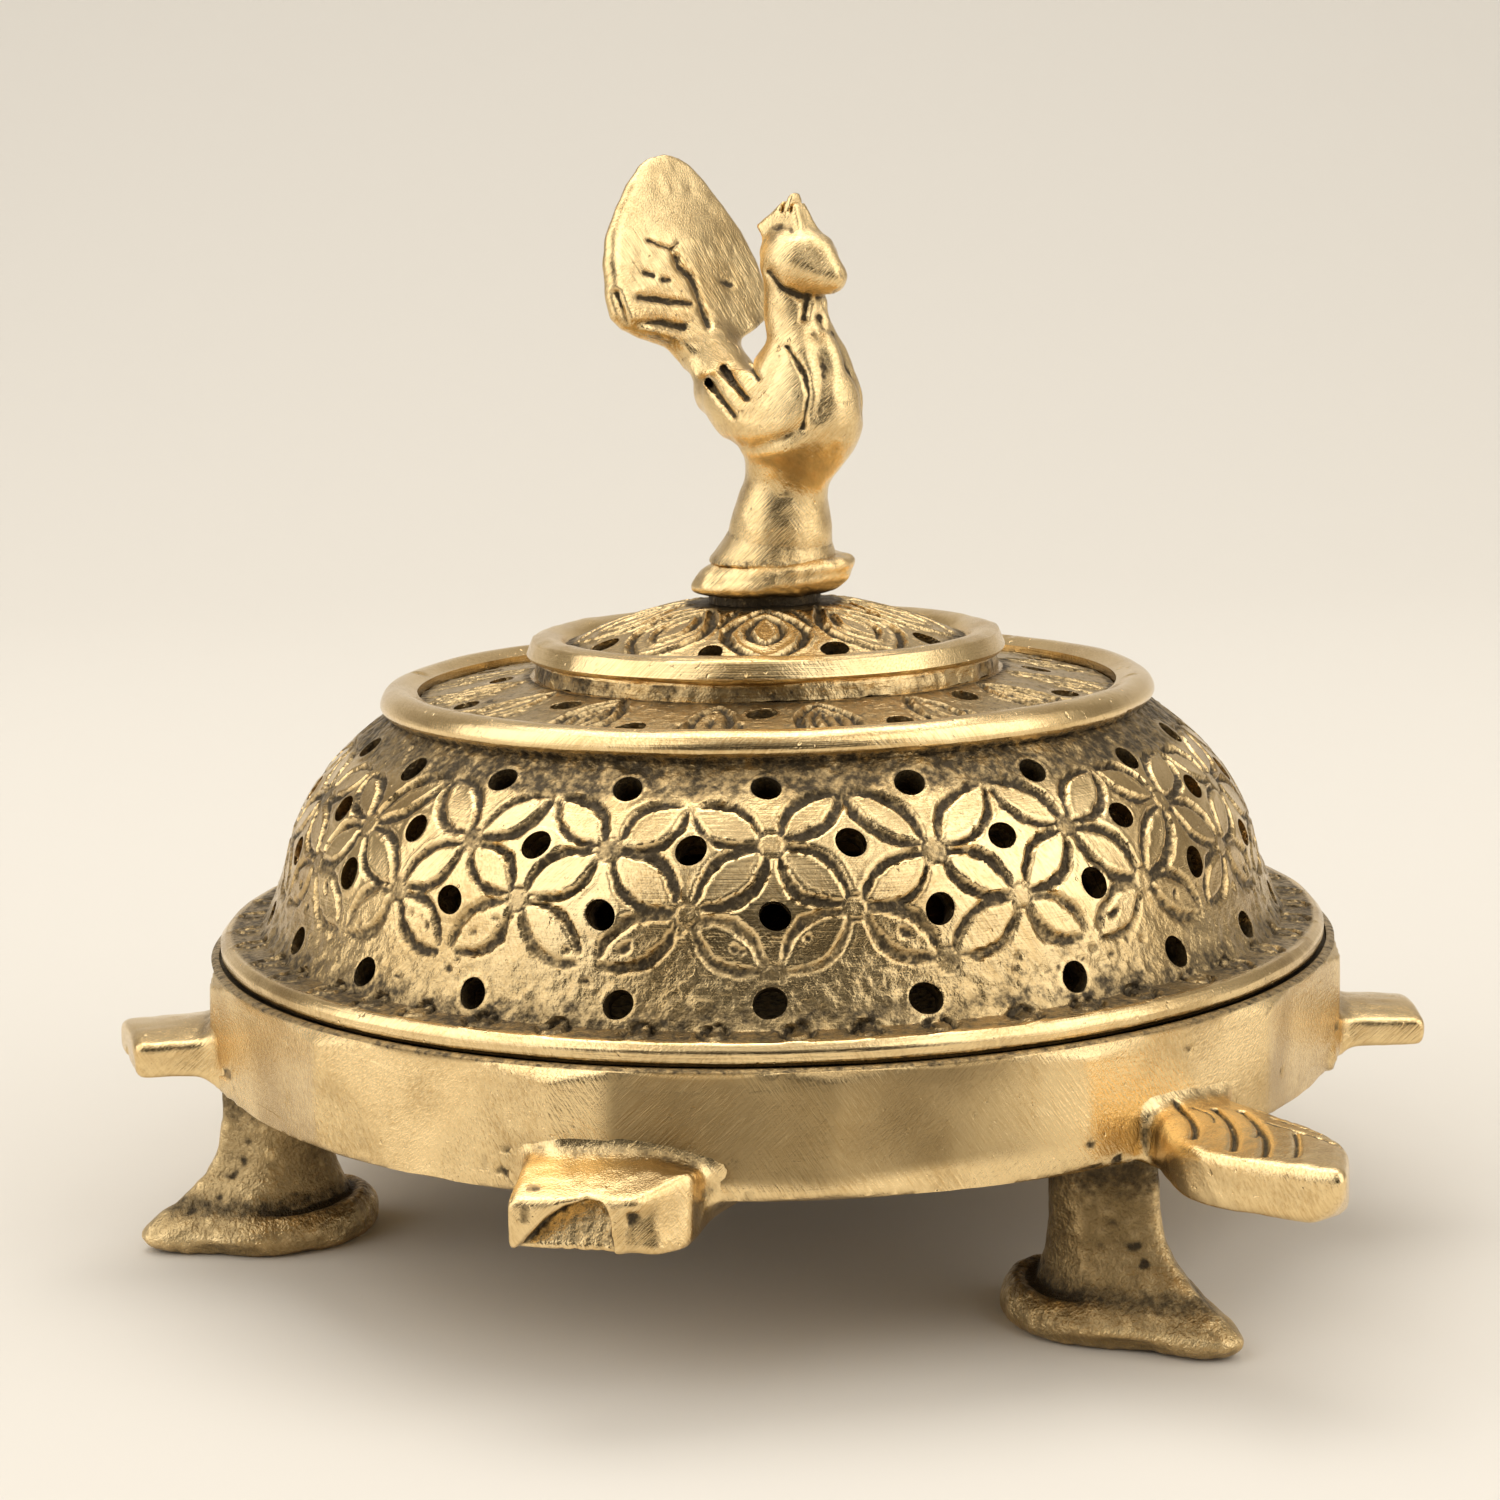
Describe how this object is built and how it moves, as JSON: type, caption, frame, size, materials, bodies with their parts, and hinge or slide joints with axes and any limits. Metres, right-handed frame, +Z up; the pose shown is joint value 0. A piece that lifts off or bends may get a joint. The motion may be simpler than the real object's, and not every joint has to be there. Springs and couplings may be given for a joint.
{
  "type": "incense burner",
  "caption": "Covered brass incense burner shaped like a tortoise: round footed bowl, pierced tiered lid with floral lattice, and a peacock finial.",
  "frame": {"origin": "on the bowl's axis, in the plane of the three soles", "axes": "+Z up along the bowl's axis, the tortoise's head points to -Y and its tail to +Y, +X is its left"},
  "size_m": [0.136, 0.174, 0.1181],
  "materials": {
    "brass_bowl": "hand-filed cast brass with scratches and dark pits",
    "brass_lid": "cast and chased brass, worn bright on the high parts, dark patina in the grooves",
    "brass_finial": "cast brass, softly worn, dark in the hollows",
    "brass_feet": "rough cast brass with brown and olive patina",
    "brass_fasteners": "plain turned brass, dulled"
  },
  "bodies": {
    "bowl": {"bowl": "brass_bowl", "head": "brass_bowl", "flipper_front_right": "brass_bowl", "flipper_front_left": "brass_bowl", "flipper_rear_right": "brass_bowl", "flipper_rear_left": "brass_bowl", "tail": "brass_bowl", "foot_front": "brass_feet", "foot_rear_right": "brass_feet", "foot_rear_left": "brass_feet", "foot_screws": "brass_fasteners", "foot_washers": "brass_fasteners"},
    "lid": {"lid_dome": "brass_lid", "lid_deck": "brass_lid", "lid_crown": "brass_lid"},
    "finial": {"finial_collar": "brass_finial", "peacock": "brass_finial", "finial_stud": "brass_fasteners", "finial_washer": "brass_fasteners", "finial_nut": "brass_fasteners"}
  },
  "joints": [
    {"name": "lid_lift", "type": "slide", "parent": "bowl", "child": "lid", "axis": [0, 0, 1], "range_m": [0, 0.15]},
    {"name": "finial_turn", "type": "hinge", "parent": "lid", "child": "finial", "pos_m": [0, 0, 0.0702], "axis": [0, 0, 1], "continuous": true}
  ]
}
